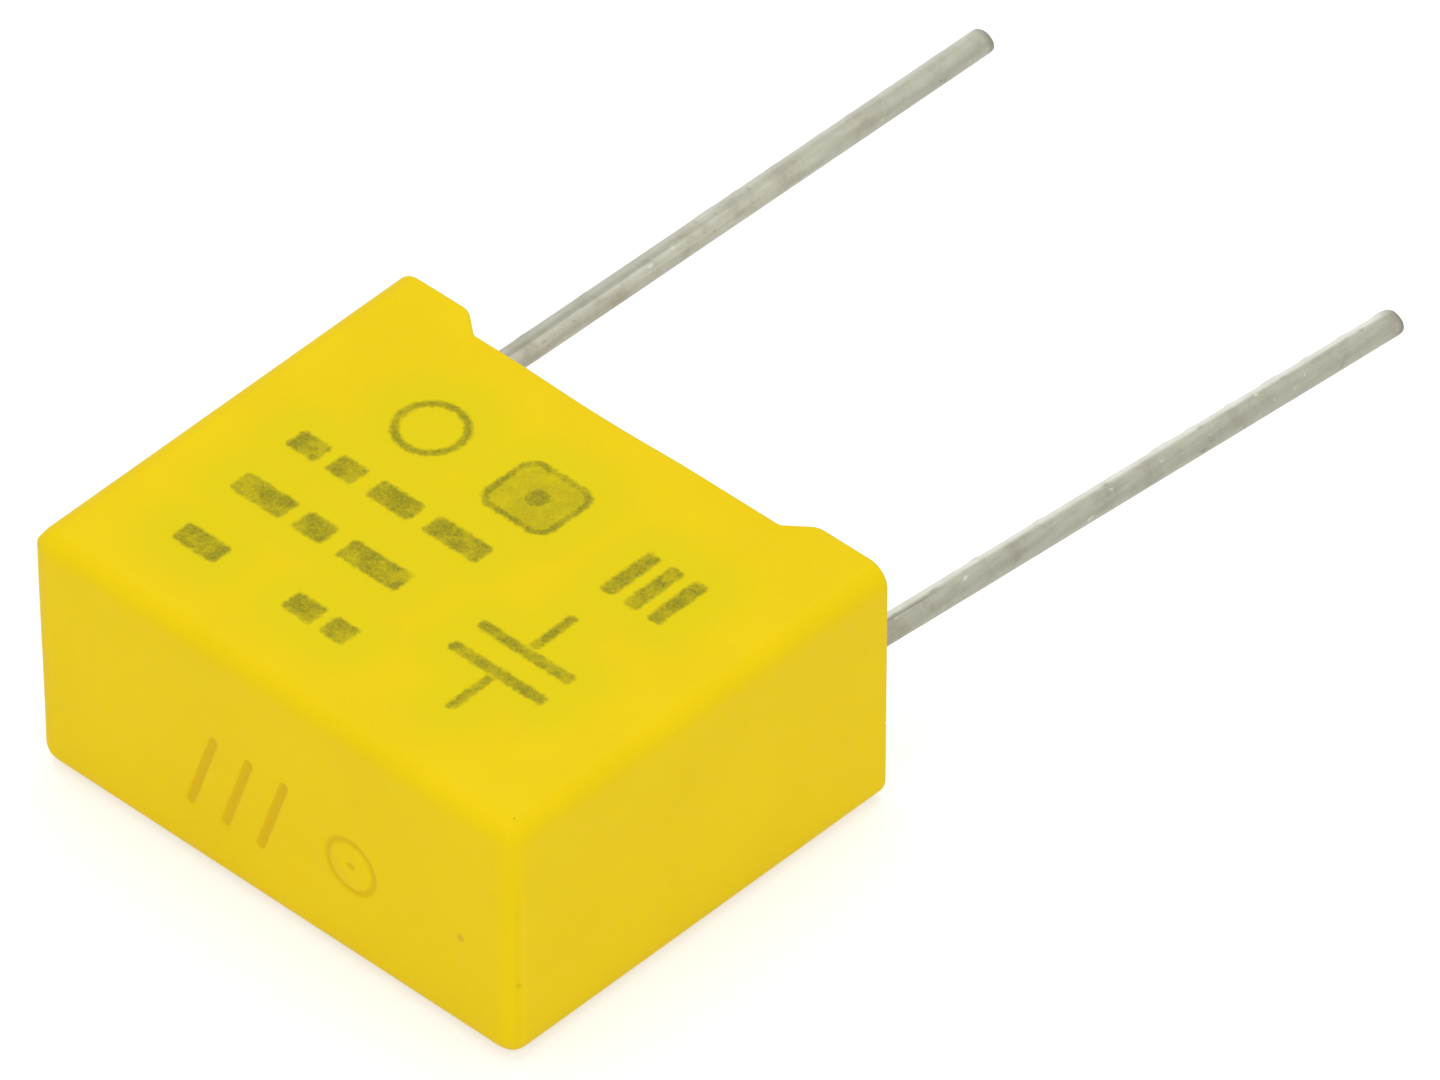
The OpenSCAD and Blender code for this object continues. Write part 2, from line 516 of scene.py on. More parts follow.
def resin_height(x, z, stems):
    """Height y of the set resin."""
    climb = MENISCUS_H * math.exp(-wall_distance(x, z) / MENISCUS_W)
    for stem in stems:
        gap = max(math.hypot(x - stem.x, MID_Z + z - stem.z) - stem.radius, 0)
        climb += COLLAR_H * math.exp(-gap / COLLAR_W)
    across_x = x / CAVITY_HALF_W
    across_z = z / CAVITY_HALF_T
    dish = DISH * (1 - across_x * across_x) * (1 - across_z * across_z)
    wave = WAVE_H * noise.noise(Vector((x, z, 0)) / WAVE_SPAN)
    ripple = RIPPLE_H * noise.noise(Vector((x, z, RIPPLE_OFFSET)) / RIPPLE_SPAN)
    return RESIN_Y - SINK + min(climb, MENISCUS_H) - dish + wave + ripple


def resin_body(material, stems):
    """Closed block of resin with its set surface on top."""
    xs = resin_stations(CAVITY_HALF_W, INNER_R)
    zs = resin_stations(CAVITY_HALF_T, INNER_R)
    bm = bmesh.new()
    grid = []
    for x in xs:
        column = []
        for z in zs:
            round_x, round_z = resin_outline(x, z)
            height = resin_height(round_x, round_z, stems)
            column.append(bm.verts.new((round_x, height, MID_Z + round_z)))
        grid.append(column)
    for left, right in zip(grid, grid[1:]):
        for j in range(len(zs) - 1):
            bm.faces.new((left[j], right[j], right[j + 1], left[j + 1]))
    border = [column[0] for column in grid]
    border += grid[-1][1:]
    border += [column[-1] for column in reversed(grid[:-1])]
    border += list(reversed(grid[0][1:-1]))
    base = [bm.verts.new((vert.co.x, CAVITY_Y, vert.co.z)) for vert in border]
    for i in range(len(border)):
        bm.faces.new((border[i - 1], border[i], base[i], base[i - 1]))
    bm.faces.new(base)
    return new_piece("resin_fill", bm, material)


def roll_outline(x):
    """Outline of the pressed roll at a place along it."""
    radius = (winding_high.z - winding_low.z) / 2
    low_y = winding_low.y + radius
    high_y = winding_high.y - radius
    points = []
    for centre_y, way in ((high_y, 1), (low_y, -1)):
        for i in range(ROLL_STEPS + 1):
            turn = math.pi * i / ROLL_STEPS
            y = centre_y + way * radius * math.sin(turn)
            points.append(Vector((x, y, MID_Z + way * radius * math.cos(turn))))
    return points


def make_resin(material, leads):
    """Resin with the spaces that the roll and the leads take up in it."""
    piece = resin_body(material, leads)
    bm = bmesh.new()
    skin(bm, [roll_outline(-ROLL_HALF_X), roll_outline(ROLL_HALF_X)])
    cut_out(piece, new_piece("roll_space", bm, None))
    bm = bmesh.new()
    for lead in leads:
        ends = (lead.start, lead.start + OUT * (SEAT_Y - lead.start.y))
        skin(bm, [round_ring(end, ACROSS, UP, lead.radius, WIRE_SIDES) for end in ends])
    cut_out(piece, new_piece("stem_spaces", bm, None))
    tidy_cuts(piece)
    even_shading(piece, BOX_SHARP)
    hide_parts("potting")
    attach(piece, "root")


# Leads

WIRE_TURNS = [math.tau * i / WIRE_SIDES for i in range(WIRE_SIDES)]


def even_steps(start, end):
    """Points from start towards end in even steps, without the end itself."""
    count = round((end - start).length / WIRE_STEP)
    return [start.lerp(end, i / count) for i in range(count)]


class Lead:
    """Centre line and wire of one lead, from its buried end, through its bend, to its cut end.

    The shears left it shorter than the solid by the trim."""

    def __init__(self, node, seed, trim, flat, finish):
        buried_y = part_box(node)[0].y
        mount = MOUNTS[node + "_pin"]
        self.node = node
        self.seed = seed
        self.flat_turn = math.radians(flat["turn"])
        self.flat_depth = flat["depth"]
        self.flat_length = flat["length"]
        self.crease = self.flat_turn - math.acos(1 - self.flat_depth)
        self.finish = finish
        self.radius = mount["dims"]["r_mm"] * MM
        self.along = Vector(mount["axis"])
        self.bend = Vector(mount["pos_m"]) - self.along * mount["dims"]["length_mm"] * MM / 2
        self.start = Vector((self.bend.x, buried_y, self.bend.z))
        self.tip = self.bend + self.along * (LEAD_FREE - trim)
        self.x = self.bend.x
        self.z = self.bend.z

    def stations(self):
        """Points and directions along the centre line, in even steps and smooth at the bend."""
        first = self.bend - OUT * BEND_REACH
        last = self.bend + self.along * BEND_REACH
        points = even_steps(self.start, first)
        count = round(2 * BEND_REACH / WIRE_STEP)
        for i in range(count):
            t = i / count
            points.append(first * (1 - t) ** 2 + self.bend * 2 * t * (1 - t) + last * t * t)
        shoulder = self.tip - self.along * TIP_R * (1 + SHEAR_SHARE)
        points += even_steps(last, shoulder)
        points.append(shoulder)
        directions = []
        for i, point in enumerate(points):
            before = points[max(i - 1, 0)]
            after = points[min(i + 1, len(points) - 1)]
            directions.append((after - before).normalized())
        return list(zip(points, directions))

    def reach(self, point, turn):
        """Distance from centre line to surface, with waves, lumps and a pressed flat."""
        right = math.cos(turn)
        up = math.sin(turn)
        place = Vector((right, up, point.y / DRAWN_SPAN)) * DRAWN_DENSITY
        drawn = noise.noise(place + Vector((self.seed, 0, 0)))
        place = Vector((right * FINE_DENSITY, up * FINE_DENSITY, point.y / FINE_SPAN + self.seed))
        fine = noise.noise(place)
        place = Vector((right * LUMP_DENSITY, up * LUMP_DENSITY, point.y / LUMP_SPAN - self.seed))
        lump = smooth_step(noise.noise(place), *LUMP_RISE)
        lump *= smooth_step(point.y - RESIN_Y, *OUT_OF_RESIN)
        lump *= smooth_step(math.cos(turn - LUMPY_TURN), *LUMPY_FACING)
        swell = DRAWN_DEPTH * drawn + FINE_DEPTH * fine + self.finish["lumps"] * lump
        radius = self.radius * (1 + swell)
        facing = math.cos(turn - self.flat_turn)
        if facing > 0:
            depth = self.flat_depth * self.pressed(point)
            radius = min(radius, self.radius * (1 - depth) / facing)
        return radius

    def pressed(self, point):
        """How much of the pressed flat there is at a point of the wire, from 0 to 1."""
        past_resin = point.y - RESIN_Y
        rise = smooth_step(past_resin, *OUT_OF_RESIN)
        fall = 1 - smooth_step(past_resin, FLAT_ENDS_FROM * self.flat_length, self.flat_length)
        return rise * fall

    def past_tip(self, point):
        """Length along the wire from its tip to a point, less than 0 before the tip."""
        return (point - self.tip).dot(self.along)

    def near_crease(self, turn):
        """1 on the crease beside the pressed flat, and 0 a little to either side of it."""
        return 1 - smooth_step(abs(turn - self.crease), *NEAR_CREASE)

    def below_crease(self, turn):
        """1 on the round side just below the crease, and 0 further around."""
        drop = self.crease - turn
        return smooth_step(drop, *BELOW_CREASE) * (1 - smooth_step(drop, *BELOW_CREASE_ENDS))

    def stain_and_shade(self, point, turn):
        """How dark the tin is: painted shade most on the pressed side, along the flat's crease and
        over the upper side, and stains on the far stretch, at the cut end and in dashes.
        """
        pressed = self.pressed(point)
        side = smooth_step(turn - self.crease, *SIDE_AFTER_CREASE)
        side *= 1 - smooth_step(turn, *SIDE_ENDS)
        side *= max(pressed * self.finish["flat_shade"], self.finish["side_shade"])
        crease = self.near_crease(turn) * pressed * self.finish["crease_shade"]
        share = (point.y - SEAT_Y) / LEAD_FREE
        end = smooth_step(share, *FAR_STRETCH) * self.finish["end_stain"]
        cut = CUT_STAIN * smooth_step(self.past_tip(point), *CUT_PLACE)
        wave = noise.noise(Vector((self.seed, 2, point.y / DASH_SPAN)))
        dash = smooth_step(math.cos(turn - DASH_TURN), *DASH_FACING) * smooth_step(wave, *DASH_RISE)
        dash *= self.finish["dashes"]
        above = smooth_step(math.sin(turn), *TOP_SHADE_FACING)
        overall = self.finish["top_shade"] * (TOP_SHADE_BELOW + (1 - TOP_SHADE_BELOW) * above)
        return max(side, crease, end, cut, dash, overall)

    def painted_highlight(self, point, turn):
        """Painted highlight on the tin: in dashes along the flat's crease, and along the rim."""
        wave = noise.noise(Vector((self.seed, 0, point.y / HIGHLIGHT_SPAN)))
        crease = max(self.near_crease(turn), BELOW_CREASE_HIGHLIGHT * self.below_crease(turn))
        crease *= self.pressed(point)
        crease *= HIGHLIGHT_LEAST + (1 - HIGHLIGHT_LEAST) * smooth_step(wave, *HIGHLIGHT_RISE)
        rim = smooth_step(math.cos(turn - RIM_TURN), *RIM_FACING)
        rim *= smooth_step(point.y, RESIN_Y, SEAT_Y)
        rim *= 1 - RIM_WAVE + RIM_WAVE * wave
        rim *= 1 - RIM_TIP_LOSS * smooth_step(self.past_tip(point), *RIM_TIP_PLACE)
        return max(crease * self.finish["crease_highlight"], rim * self.finish["rim_highlight"])

    def ring(self, point, along):
        """Ring of points on the wire's surface around a point of its centre line."""
        side = (ACROSS - along * ACROSS.dot(along)).normalized()
        upward = side.cross(along)
        ring = []
        for turn in WIRE_TURNS:
            outward = side * math.cos(turn) + upward * math.sin(turn)
            ring.append(point + outward * self.reach(point, turn))
        return ring

    def tip_rings(self):
        """Rings over the cut end."""
        longest = TIP_R * (1 + SHEAR_SHARE)
        end_ring = self.ring(self.tip, self.along)
        rings = []
        for i in range(1, TIP_STEPS + 1):
            turn = QUARTER * i / TIP_STEPS
            ring = []
            for point, around in zip(end_ring, WIRE_TURNS):
                round_r = TIP_R * (1 + SHEAR_SHARE * math.cos(around - SHEAR_TURN))
                inward = (self.tip - point).normalized()
                back = longest * (1 - i / TIP_STEPS) * (1 - round_r / longest)
                back += round_r * (1 - math.sin(turn))
                ring.append(point + inward * round_r * (1 - math.cos(turn)) - self.along * back)
            rings.append(ring)
        rim = rings[-1]
        for share in DISH_RINGS:
            dish = self.along * TIP_DISH * (1 - share)
            rings.append([self.tip.lerp(point, share) - dish for point in rim])
        return rings

    def make(self, material):
        """Wire with its stains and painted shade, and its painted highlights, as attributes for the
        material.
        """
        bm = bmesh.new()
        stain_and_shade = bm.verts.layers.float.new("stain_and_shade")
        painted_highlight = bm.verts.layers.float.new("painted_highlight")
        rings = [self.ring(point, along) for point, along in self.stations()]
        for row in skin(bm, rings + self.tip_rings()):
            for vert, turn in zip(row, WIRE_TURNS):
                vert[stain_and_shade] = self.stain_and_shade(vert.co, turn)
                vert[painted_highlight] = self.painted_highlight(vert.co, turn)
        piece = new_piece(self.node + "_wire", bm, material)
        even_shading(piece, WIRE_SHARP)
        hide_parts(self.node)
        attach(piece, "root")


# Materials

def colour(red, green, blue):
    """Linear colour with alpha, from sRGB values of 0 to 255."""
    values = []
    for value in (red / 255, green / 255, blue / 255):
        values.append(value / 12.92 if value <= 0.04045 else ((value + 0.055) / 1.055) ** 2.4)
    return (*values, 1)


class Shader:
    """One material and its nodes. Positions in it are millimetres in the part's own frame."""

    def __init__(self, name, fixed):
        self.material = bpy.data.materials.new(name)
        self.material.use_nodes = True
        self.tree = self.material.node_tree
        self.surface = self.tree.nodes["Principled BSDF"]
        for socket, value in fixed.items():
            self.surface.inputs[socket].default_value = value
        metres = self.add("TexCoord", {}).outputs["Object"]
        to_mm = {0: metres, "Scale": 1 / MM}
        self.place = self.add("VectorMath", to_mm, operation="SCALE").outputs[0]
        axes = self.add("SeparateXYZ", {0: self.place})
        self.x, self.y, self.z = axes.outputs

    def add(self, kind, values, **settings):
        """Adds a node, makes its settings, and sets or links its sockets."""
        node = self.tree.nodes.new("ShaderNode" + kind)
        for name, value in settings.items():
            setattr(node, name, value)
        for socket, value in values.items():
            self.put(node.inputs[socket], value)
        return node

    def put(self, socket, value):
        """Links another node's output to a socket, or sets the socket's own value."""
        if isinstance(value, bpy.types.NodeSocket):
            self.tree.links.new(value, socket)
        else:
            socket.default_value = value

    def finish(self, **values):
        """Links the colour, roughness or normal of the surface, and gives the material."""
        names = {"tint": "Base Color", "roughness": "Roughness", "normal": "Normal"}
        for name, value in values.items():
            self.put(self.surface.inputs[names[name]], value)
        return self.material

    def math(self, operation, first, second=0.0):
        """Result of an operation on one or two numbers."""
        return self.add("Math", {0: first, 1: second}, operation=operation).outputs[0]

    def vector(self, operation, first, second=(0, 0, 0)):
        """Result of an operation on one or two vectors."""
        return self.add("VectorMath", {0: first, 1: second}, operation=operation).outputs["Vector"]

    def length(self, vector):
        """Length of a vector."""
        return self.add("VectorMath", {0: vector}, operation="LENGTH").outputs["Value"]

    def stretch(self, x, y, z):
        """Position with each axis multiplied."""
        return self.vector("MULTIPLY", self.place, (x, y, z))

    def noise(self, scale, place=None, detail=3.0, roughness=0.55):
        """Noise with this many waves to a millimetre."""
        values = {
            "Vector": place or self.place,
            "Scale": scale,
            "Detail": detail,
            "Roughness": roughness,
        }
        return self.add("TexNoise", values).outputs[0]

    def attribute(self, name):
        """Value that the mesh carries at each of its points."""
        return self.add("Attribute", {}, attribute_name=name).outputs["Fac"]

    def fade(self, value, start, end, low=0.0, high=1.0):
        """Goes smoothly from low, where the value is at start, to high, where it is at end."""
        values = {"Value": value, "From Min": start, "From Max": end, "To Min": low, "To Max": high}
        return self.add("MapRange", values, interpolation_type="SMOOTHSTEP").outputs[0]

    def mix(self, factor, first, second):
        """Colour that goes from the first to the second as the factor goes from 0 to 1."""
        return self.add("Mix", {0: factor, 6: first, 7: second}, data_type="RGBA").outputs[2]

    def spot(self, centre, radius, soft, place=None):
        """1 within a radius of a point, and 0 a little further out."""
        gap = self.length(self.vector("SUBTRACT", place or self.place, centre))
        return self.fade(gap, radius, radius + soft, low=1.0, high=0.0)

    def bump(self, height, depth):
        """Normal of a surface that a height of 1 lifts by the depth, in metres."""
        return self.add("Bump", {"Height": height, "Distance": depth}).outputs["Normal"]


# Generic print on the upper face, in millimetres: bars as centre x, centre y, width and height
STROKE = 0.26
PRINT_RING = (-3.8, 3.0, 1.0)
PRINT_FRAME = (0.2, 2.9, 2.3, 2.1)
PRINT_FRAME_R = 0.45
PRINT_DOT_R = 0.38
PRINT_BAR_R = 0.15
COUNT_BARS = [(4.1 + 0.85 * i, 2.4, 0.5, 2.0) for i in range(3)]
UPPER_ROW = ((-5.7, 1.1), (-4.3, 1.0), (-2.5, 1.6), (-0.2, 2.0))
UPPER_FIELDS = [(x, 0.25, width, 0.8) for x, width in UPPER_ROW]
MIDDLE_ROW = ((-5.2, 1.9), (-3.3, 1.1), (-1.1, 2.2))
MIDDLE_FIELDS = [(x, -2.0, width, 0.85) for x, width in MIDDLE_ROW]
LOWER_ROW = ((-5.1, 1.6), (-1.3, 1.1), (0.0, 0.9))
LOWER_FIELDS = [(x, -4.5, width, 0.8) for x, width in LOWER_ROW]
PLATES = [(4.2, -2.3 + side * 0.55, 3.4, 0.4) for side in (-1, 1)]
STUBS = [(4.2, -2.3 + side * 1.6, 0.32, 1.7) for side in (-1, 1)]
PRINT_BARS = COUNT_BARS + UPPER_FIELDS + MIDDLE_FIELDS + LOWER_FIELDS + PLATES + STUBS

# Ink of the print: distances from a stroke's edge in millimetres, and shares of its colour
INK_WOBBLE = (-0.03, 0.03)
INK_EDGE = (-0.09, 0.07)
PAD_EDGE = (-0.1, 0.0)
PAD_SHARE = 0.55
HAZE_REACH = (0.2, 2.0)
HAZE_SHARE = 0.8
PATCH_SHARES = (0.4, 0.8)
PORE_SHARES = (0.8, 1.1)

# Places on the case, in millimetres, as the start and the end of a fade
UPPER_FACE_Z = (8.25, 8.29)
SUNK_Y = (-7.247, -7.21)
CLOSED_WALL_Y = (-6.8, -7.0)
MARKS_REACH_X = (8.0, 7.8)
MARKS_REACH_Z = (3.3, 3.1)
BELOW_CORNER_Z = (4.5, 7.4)

# Specks on the case, and a painted shade line and a painted highlight line beside the crease down
# its right upright edge,
# which fade towards the upper face: centre, radius and width of the soft rim in millimetres, and
# colour
SPECKS = (
    ((8.4, -6.63, 8.3), 0.02, 0.05, colour(158, 132, 12)),
    ((6.98, -7.25, 3.5), 0.03, 0.16, colour(224, 177, 40)),
    ((8.84, -6.97, 2.76), 0.02, 0.11, colour(206, 177, 0)),
)
CREASE_SHADE_AND_HIGHLIGHT = (
    ((8.83, -6.98, 0), 0.02, 0.14, colour(227, 193, 0)),
    ((8.87, -6.82, 0), 0.04, 0.18, colour(247, 214, 0)),
)
CREASE_LIGHT_SHARE = 0.4

# Colours
YELLOW = colour(235, 203, 0)
PALE_YELLOW = colour(239, 207, 0)
GRAIN_YELLOW = colour(241, 210, 8)
# Painted shade in the marks sunk in the closed end
SUNK_SHADE_YELLOW = colour(221, 184, 0)
INK = colour(118, 115, 24)
INK_HAZE = colour(224, 206, 0)
RESIN = colour(208, 191, 124)
PALE_RESIN = colour(215, 199, 134)
GRAIN_RESIN = colour(201, 184, 118)
BUBBLE_RESIN = colour(168, 148, 88)
TIN = colour(194, 193, 179)
PALE_TIN = colour(206, 205, 192)
WARM_TIN = colour(183, 176, 160)
# Stains and painted shade on the leads
STAIN_AND_SHADE_TIN = colour(144, 144, 131)
# Painted highlights on the leads
HIGHLIGHT_TIN = colour(228, 228, 221)
BRIGHT_SPECK = colour(232, 231, 221)
DARK_SPECK = colour(140, 138, 123)
FILM = colour(168, 172, 174)
PALE_FILM = colour(206, 210, 212)
ZINC = colour(112, 112, 108)
PALE_ZINC = colour(158, 158, 152)

# Ranges of a noise: most of it, two inner parts, its upper part, and its rare peaks and dips
BROAD = (0.3, 0.7)
INNER = (0.35, 0.65)
LOWER_INNER = (0.3, 0.62)
UPPER = (0.5, 0.75)
PEAKS = (0.67, 0.78)
HIGH_PEAKS = (0.72, 0.8)
DIPS = (0.33, 0.22)


def bar_distance(shader, place, x, y, width, height, corner):
    """Distance outside a bar with round corners on the upper face, and less than 0 inside it."""
    offset = shader.vector("ABSOLUTE", shader.vector("SUBTRACT", place, (x, y, 0)))
    beyond = shader.vector("SUBTRACT", offset, (width / 2 - corner, height / 2 - corner, 0))
    return shader.math("SUBTRACT", shader.length(shader.vector("MAXIMUM", beyond)), corner)


def print_distance(shader):
    """Distance outside the nearest stroke of the print, and less than 0 inside it."""
    place = shader.stretch(1, 1, 0)
    x, y, radius = PRINT_RING
    ring = shader.length(shader.vector("SUBTRACT", place, (x, y, 0)))
    ring = shader.math("ABSOLUTE", shader.math("SUBTRACT", ring, radius))
    frame_line = shader.math("ABSOLUTE", bar_distance(shader, place, *PRINT_FRAME, PRINT_FRAME_R))
    nearest = shader.math("SUBTRACT", shader.math("MINIMUM", ring, frame_line), STROKE / 2)
    dot = shader.length(shader.vector("SUBTRACT", place, (PRINT_FRAME[0], PRINT_FRAME[1], 0)))
    nearest = shader.math("MINIMUM", nearest, shader.math("SUBTRACT", dot, PRINT_DOT_R))
    for bar in PRINT_BARS:
        nearest = shader.math("MINIMUM", nearest, bar_distance(shader, place, *bar, PRINT_BAR_R))
    return nearest


def sunk_mark_shade(shader):
    """1 in the marks sunk in the closed end: painted shade, the deeper colour that light between
    their walls gives.
    """
    deep = shader.fade(shader.y, *SUNK_Y)
    in_wall = shader.fade(shader.y, *CLOSED_WALL_Y)
    across = shader.fade(shader.math("ABSOLUTE", shader.x), *MARKS_REACH_X)
    upright = shader.math("ABSOLUTE", shader.math("SUBTRACT", shader.z, MID_Z / MM))
    upright = shader.fade(upright, *MARKS_REACH_Z)
    inside = shader.math("MULTIPLY", across, upright)
    return shader.math("MULTIPLY", shader.math("MULTIPLY", deep, in_wall), inside)


def printed(shader, plastic):
    """Colour of the case with the worn print, and the haze of ink around it, on its upper face."""
    wobble = shader.fade(shader.noise(6.0), *BROAD, *INK_WOBBLE)
    distance = shader.math("ADD", print_distance(shader), wobble)
    inked = shader.fade(distance, *INK_EDGE, low=1.0, high=0.0)
    pad = bar_distance(shader, shader.stretch(1, 1, 0), *PRINT_FRAME, PRINT_FRAME_R)
    inked = shader.math("MAXIMUM", inked, shader.fade(pad, *PAD_EDGE, low=PAD_SHARE, high=0.0))
    on_top = shader.fade(shader.z, *UPPER_FACE_Z)
    haze = shader.fade(distance, *HAZE_REACH, low=HAZE_SHARE, high=0.0)
    plastic = shader.mix(shader.math("MULTIPLY", haze, on_top), plastic, INK_HAZE)
    patches = shader.noise(1.6, detail=5.0, roughness=0.7)
    patches = shader.fade(patches, *LOWER_INNER, *PATCH_SHARES)
    pores = shader.fade(shader.noise(14.0, detail=2.0), *INNER, *PORE_SHARES)
    wear = shader.math("MULTIPLY", patches, pores)
    inked = shader.math("MULTIPLY", shader.math("MULTIPLY", inked, on_top), wear)
    return shader.mix(inked, plastic, INK)


def case_material():
    """Satin moulded plastic, with a worn print, a few specks, painted shade in the sunk marks, and
    a painted shade line and a painted highlight line along one edge.
    """
    shader = Shader("moulded_case", {"Specular IOR Level": 0.12, "Roughness": 0.55})
    cloud = shader.noise(0.25, detail=4.0)
    plastic = shader.mix(shader.fade(cloud, *BROAD), YELLOW, PALE_YELLOW)
    grain = shader.noise(9.0, detail=2.0)
    plastic = shader.mix(shader.fade(grain, *INNER, high=0.25), plastic, GRAIN_YELLOW)
    tint = printed(shader, plastic)
    # Painted shade in the sunk marks of the closed end
    tint = shader.mix(sunk_mark_shade(shader), tint, SUNK_SHADE_YELLOW)
    for centre, radius, soft, speck in SPECKS:
        tint = shader.mix(shader.spot(centre, radius, soft), tint, speck)
    share = shader.fade(shader.z, *BELOW_CORNER_Z, low=CREASE_LIGHT_SHARE, high=0.0)
    flat_place = shader.stretch(1, 1, 0)
    # Painted shade and painted highlight along the crease of the right upright edge
    for centre, radius, soft, line in CREASE_SHADE_AND_HIGHLIGHT:
        on_painted_line = shader.math("MULTIPLY", share, shader.spot(centre, radius, soft, flat_place))
        tint = shader.mix(on_painted_line, tint, line)
    roughness = shader.fade(shader.noise(2.0), *BROAD, low=0.52, high=0.62)
    texture = shader.math("ADD", shader.noise(14.0, detail=3.0), shader.noise(0.6, detail=1.0))
    normal = shader.bump(texture, depth=0.006 * MM)
    return shader.finish(tint=tint, roughness=roughness, normal=normal)


def resin_material():
    """Cast resin with a slight gloss, clouded and with a few small bubbles."""
    shader = Shader("cast_resin", {"Specular IOR Level": 0.45, "Roughness": 0.25})
    cloud = shader.noise(0.3, detail=2.0)
    tint = shader.mix(shader.fade(cloud, *BROAD), RESIN, PALE_RESIN)
    grain = shader.noise(12.0, detail=3.0)
    tint = shader.mix(shader.fade(grain, *INNER, high=0.3), tint, GRAIN_RESIN)
    bubbles = shader.noise(4.0, detail=1.0)
    tint = shader.mix(shader.fade(bubbles, *HIGH_PEAKS, high=0.45), tint, BUBBLE_RESIN)
    roughness = shader.fade(shader.noise(1.5), *BROAD, low=0.18, high=0.34)
    normal = shader.bump(shader.noise(2.5, detail=3.0), depth=0.02 * MM)
    return shader.finish(tint=tint, roughness=roughness, normal=normal)


def wire_material():
    """Dull tin plate, with streaks from drawing the wire, stains, painted shade, painted
    highlights, and bright and dark specks.
    """
    shader = Shader("tinned_wire", {"Metallic": 1.0, "Roughness": 0.6})
    streaks = shader.noise(6.0, place=shader.stretch(1, 0.06, 1), detail=4.0)
    stains = shader.noise(1.1, detail=5.0, roughness=0.65)
    specks = shader.noise(4.0, place=shader.stretch(1, 0.5, 1), detail=2.0)
    tint = shader.mix(shader.fade(streaks, *BROAD), TIN, PALE_TIN)
    tint = shader.mix(shader.fade(stains, *UPPER, high=0.5), tint, WARM_TIN)
    # Stains, and painted shade on the pressed flat, the crease and the upper side
    tint = shader.mix(shader.attribute("stain_and_shade"), tint, STAIN_AND_SHADE_TIN)
    tint = shader.mix(shader.fade(specks, *PEAKS, high=0.5), tint, BRIGHT_SPECK)
    tint = shader.mix(shader.fade(specks, *DIPS, high=0.4), tint, DARK_SPECK)
    # Painted highlights along the flat's crease and the upper rim
    tint = shader.mix(shader.attribute("painted_highlight"), tint, HIGHLIGHT_TIN)
    roughness = shader.fade(stains, *BROAD, low=0.8, high=0.9)
    height = shader.math("ADD", streaks, shader.noise(12.0, detail=2.0))
    height = shader.math("ADD", height, specks)
    normal = shader.bump(height, depth=0.008 * MM)
    return shader.finish(tint=tint, roughness=roughness, normal=normal)


def film_material():
    """Wound film: thin bright turns of metal layer that run around the roll."""
    shader = Shader("metallised_film", {"Metallic": 0.8, "Roughness": 0.3})
    turns = shader.noise(3.0, place=shader.stretch(3.0, 0.25, 0.25), detail=4.0)
    tint = shader.mix(shader.fade(turns, *BROAD), FILM, PALE_FILM)
    roughness = shader.fade(shader.noise(2.0), *BROAD, low=0.22, high=0.4)
    normal = shader.bump(turns, depth=0.02 * MM)
    return shader.finish(tint=tint, roughness=roughness, normal=normal)


def spray_material():
    """Sprayed zinc: dull and grainy."""
    shader = Shader("sprayed_zinc", {"Metallic": 0.7, "Roughness": 0.7})
    grain = shader.noise(8.0, detail=6.0, roughness=0.7)
    tint = shader.mix(shader.fade(grain, *BROAD), ZINC, PALE_ZINC)
    normal = shader.bump(grain, depth=0.06 * MM)
    return shader.finish(tint=tint, normal=normal)


def dress_node(node, material):
    """Gives its finish to a solid that is kept as it is."""
    piece = frame["nodes"][node]
    piece.data.materials.clear()
    piece.data.materials.append(material)


# Studio: the floor's own grey, the grey and glow that the camera sees, which together are white,
# the level of the surroundings, and two panels
FLOOR_DROP = 0.01 * MM
FLOOR_HALF = 1.5
FLOOR_WHITE = 0.95
FLOOR_SEEN = 0.6
FLOOR_GLOW = 0.52
SKY = 0.64
TOP_PANEL = Vector((-0.13, 0.13, 0.83))
TOP_PANEL_SIZE = 0.6
TOP_PANEL_RADIANCE = 2.0
FRONT_PANEL = Vector((0.56, -0.58, 0.6))
FRONT_PANEL_SIZE = 0.8
FRONT_PANEL_RADIANCE = 1.25


def background_rays(tree):
    """1 for the rays that see the background: straight, mirrored or through glass."""
    rays = tree.nodes.new("ShaderNodeLightPath")
    total = rays.outputs["Is Camera Ray"]
    for name in ("Is Glossy Ray", "Is Transmission Ray"):
        node = tree.nodes.new("ShaderNodeMath")
        node.operation = "MAXIMUM"
        tree.links.new(total, node.inputs[0])
        tree.links.new(rays.outputs[name], node.inputs[1])
        total = node.outputs[0]
    return total


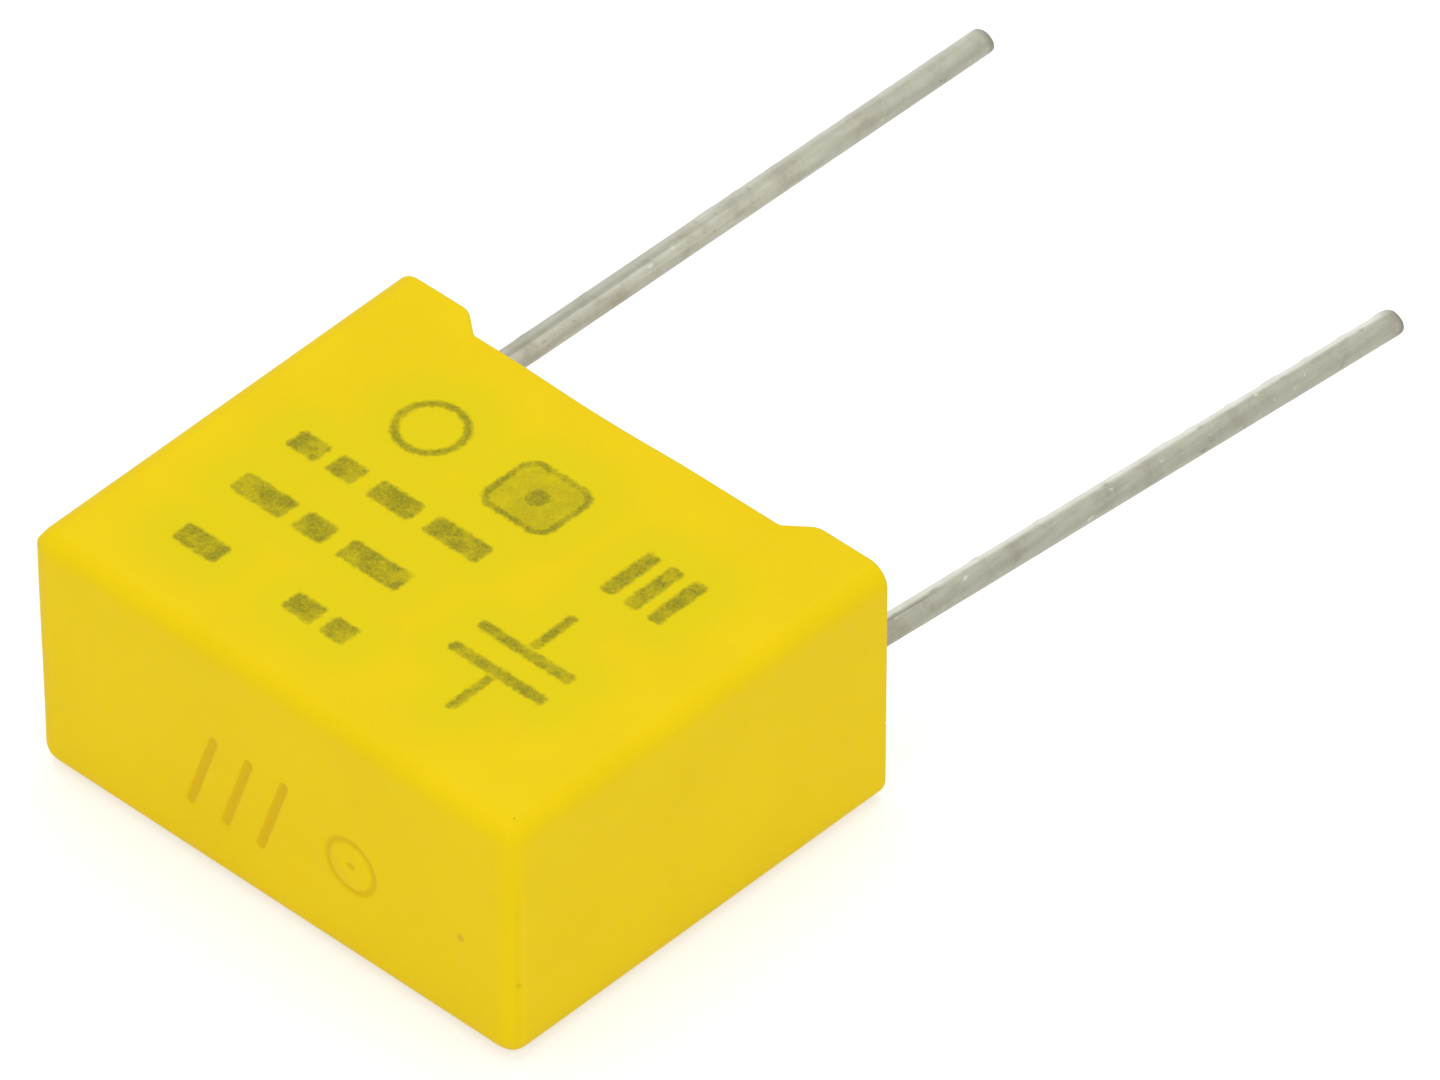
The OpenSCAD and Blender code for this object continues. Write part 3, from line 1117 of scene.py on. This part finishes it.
def make_floor():
    """White floor that keeps a faint shadow of the part."""
    material = bpy.data.materials.new("white_floor")
    material.use_nodes = True
    tree = material.node_tree
    surface = tree.nodes["Principled BSDF"]
    surface.inputs["Roughness"].default_value = 1
    surface.inputs["Specular IOR Level"].default_value = 0
    surface.inputs["Emission Color"].default_value = (1, 1, 1, 1)
    seen = background_rays(tree)
    for socket, unseen_value, seen_value in (
        ("Base Color", FLOOR_WHITE, FLOOR_SEEN),
        ("Emission Strength", 0, FLOOR_GLOW),
    ):
        choice = tree.nodes.new("ShaderNodeMapRange")
        choice.inputs["To Min"].default_value = unseen_value
        choice.inputs["To Max"].default_value = seen_value
        tree.links.new(seen, choice.inputs["Value"])
        tree.links.new(choice.outputs[0], surface.inputs[socket])
    bm = bmesh.new()
    corners = ((-1, -1), (1, -1), (1, 1), (-1, 1))
    bm.faces.new([bm.verts.new((x * FLOOR_HALF, y * FLOOR_HALF, -FLOOR_DROP)) for x, y in corners])
    bm.normal_update()
    floor = new_piece("floor", bm, material)


def make_sky():
    """Even white surroundings."""
    world = bpy.data.worlds.new("white_surroundings")
    bpy.context.scene.world = world
    world.use_nodes = True
    tree = world.node_tree
    background = tree.nodes["Background"]
    background.inputs["Color"].default_value = (1, 1, 1, 1)
    strength = tree.nodes.new("ShaderNodeMapRange")
    strength.inputs["To Min"].default_value = SKY
    strength.inputs["To Max"].default_value = 1
    tree.links.new(background_rays(tree), strength.inputs["Value"])
    tree.links.new(strength.outputs[0], background.inputs["Strength"])


def make_panel(name, place, size, radiance):
    """Large soft panel that faces the part."""
    lamp = bpy.data.lights.new(name, "AREA")
    lamp.shape = "SQUARE"
    lamp.size = size
    lamp.energy = radiance * math.pi * size ** 2
    panel = bpy.data.objects.new(name, lamp)
    panel.location = place
    panel.rotation_mode = "QUATERNION"
    panel.rotation_quaternion = (-place).to_track_quat("-Z", "Y")
    bpy.context.scene.collection.objects.link(panel)


def make_camera():
    """Camera at the photograph's viewing angle."""
    level = math.cos(CAMERA_ELEVATION)
    forward = Vector((
        -math.sin(CAMERA_AZIMUTH) * level,
        math.cos(CAMERA_AZIMUTH) * level,
        -math.sin(CAMERA_ELEVATION),
    ))
    data = bpy.data.cameras.new("camera")
    data.lens = CAMERA_LENS
    data.sensor_width = CAMERA_SENSOR
    camera = bpy.data.objects.new("camera", data)
    camera.location = CAMERA_AIM - forward * CAMERA_DISTANCE
    camera.rotation_mode = "QUATERNION"
    roll = Quaternion((0, 0, 1), CAMERA_ROLL)
    camera.rotation_quaternion = forward.to_track_quat("-Z", "Y") @ roll
    bpy.context.scene.collection.objects.link(camera)
    bpy.context.scene.camera = camera


# Whole part

bpy.context.scene.view_settings.view_transform = "Standard"
make_camera()
make_floor()
make_sky()
make_panel("top_panel", TOP_PANEL, TOP_PANEL_SIZE, TOP_PANEL_RADIANCE)
make_panel("front_panel", FRONT_PANEL, FRONT_PANEL_SIZE, FRONT_PANEL_RADIANCE)

# Finishes of the leads: stains, painted shade on the flat, side, crease and upper side, and painted
# highlights on the crease and rim
leads = [
    Lead(
        "lead_left",
        seed=1.7,
        trim=0.05 * MM,
        flat={"turn": 92, "depth": 0.14, "length": 13 * MM},
        finish={
            "flat_shade": 0.42,
            "side_shade": 0.18,
            "end_stain": 0.2,
            "crease_shade": 0.0,
            "crease_highlight": 0.3,
            "rim_highlight": 0.3,
            "dashes": 0.3,
            "top_shade": 0.0,
            "lumps": 0.03,
        },
    ),
    Lead(
        "lead_right",
        seed=5.3,
        trim=0.155 * MM,
        flat={"turn": 105, "depth": 0.094, "length": 5.5 * MM},
        finish={
            "flat_shade": 0.32,
            "side_shade": 0.0,
            "end_stain": 0.0,
            "crease_shade": 0.8,
            "crease_highlight": 0.0,
            "rim_highlight": 0.95,
            "dashes": 0.9,
            "top_shade": 0.28,
            "lumps": 0.08,
        },
    ),
]
make_case(case_material())
make_resin(resin_material(), leads)
tin = wire_material()
for lead in leads:
    lead.make(tin)
zinc = spray_material()
dress_node("film_winding", film_material())
dress_node("end_spray_left", zinc)
dress_node("end_spray_right", zinc)
